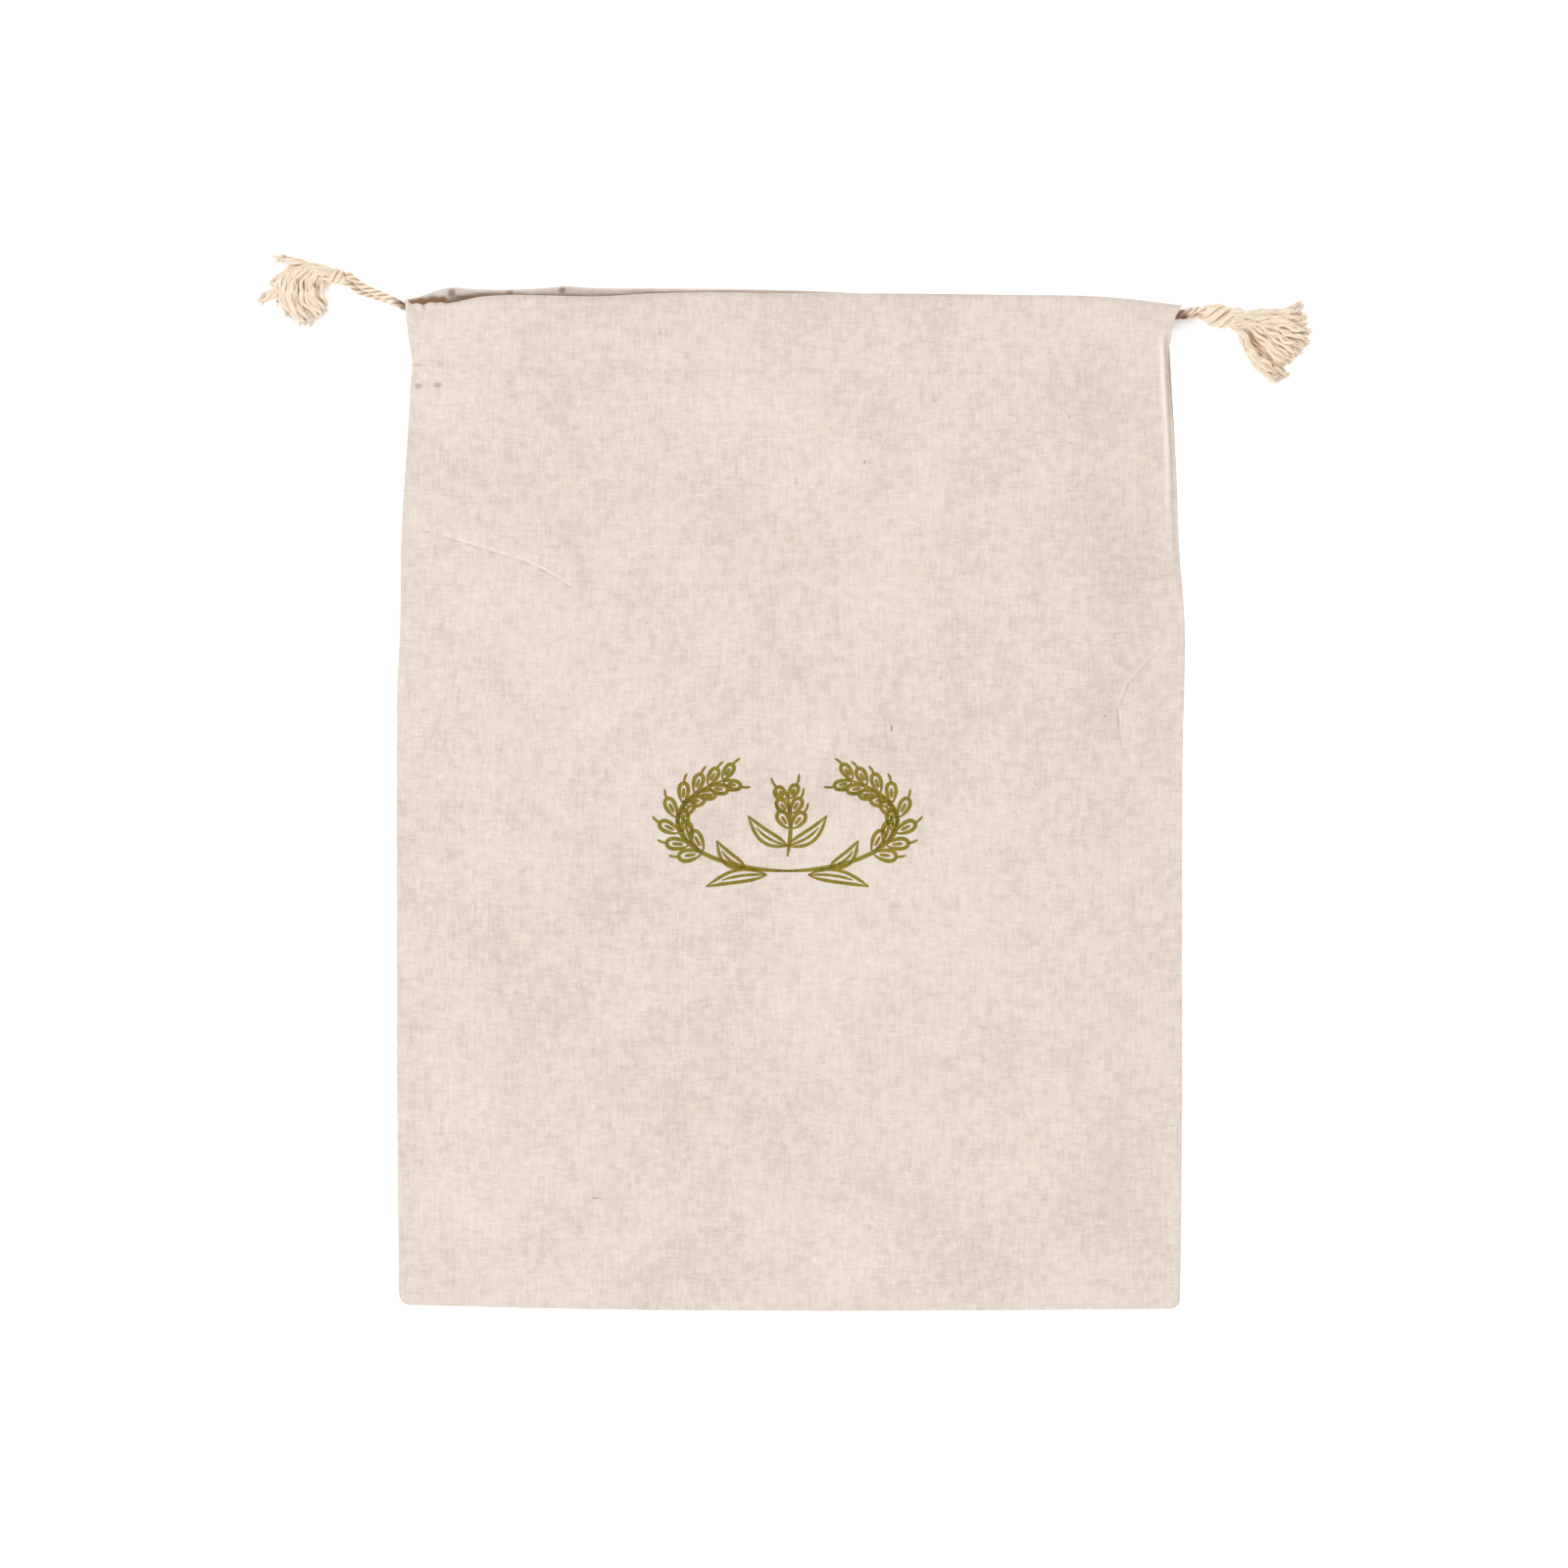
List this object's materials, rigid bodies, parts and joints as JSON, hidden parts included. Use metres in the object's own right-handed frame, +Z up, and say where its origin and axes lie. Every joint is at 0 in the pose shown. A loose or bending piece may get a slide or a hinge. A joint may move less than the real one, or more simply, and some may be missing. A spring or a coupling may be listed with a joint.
{
  "type": "drawstring bag",
  "caption": "Flat rectangular linen drawstring bag lying empty on its back, with casings at the mouth and drawcords knotted into tassels at both sides.",
  "frame": {"origin": "under the middle of the cloth bag, on the surface that it lies on", "axes": "+Z up from the surface, +Y along the bag towards its mouth, +X across the bag towards the side with the larger knot"},
  "size_m": [0.4015, 0.4054, 0.0158],
  "materials": {
    "front_panel": "plain-woven natural linen, matt",
    "back_panel": "plain-woven natural linen, matt",
    "drawcord_front": "twisted undyed cotton cord, matt",
    "drawcord_back": "twisted undyed cotton cord, matt",
    "tassel_left": "knotted and untwisted cotton yarn, matt",
    "tassel_right": "knotted and untwisted cotton yarn, matt"
  },
  "bodies": {
    "root": {"front_panel": "front_panel", "back_panel": "back_panel", "drawcord_front": "drawcord_front", "drawcord_back": "drawcord_back", "tassel_left": "tassel_left", "tassel_right": "tassel_right"}
  },
  "joints": []
}
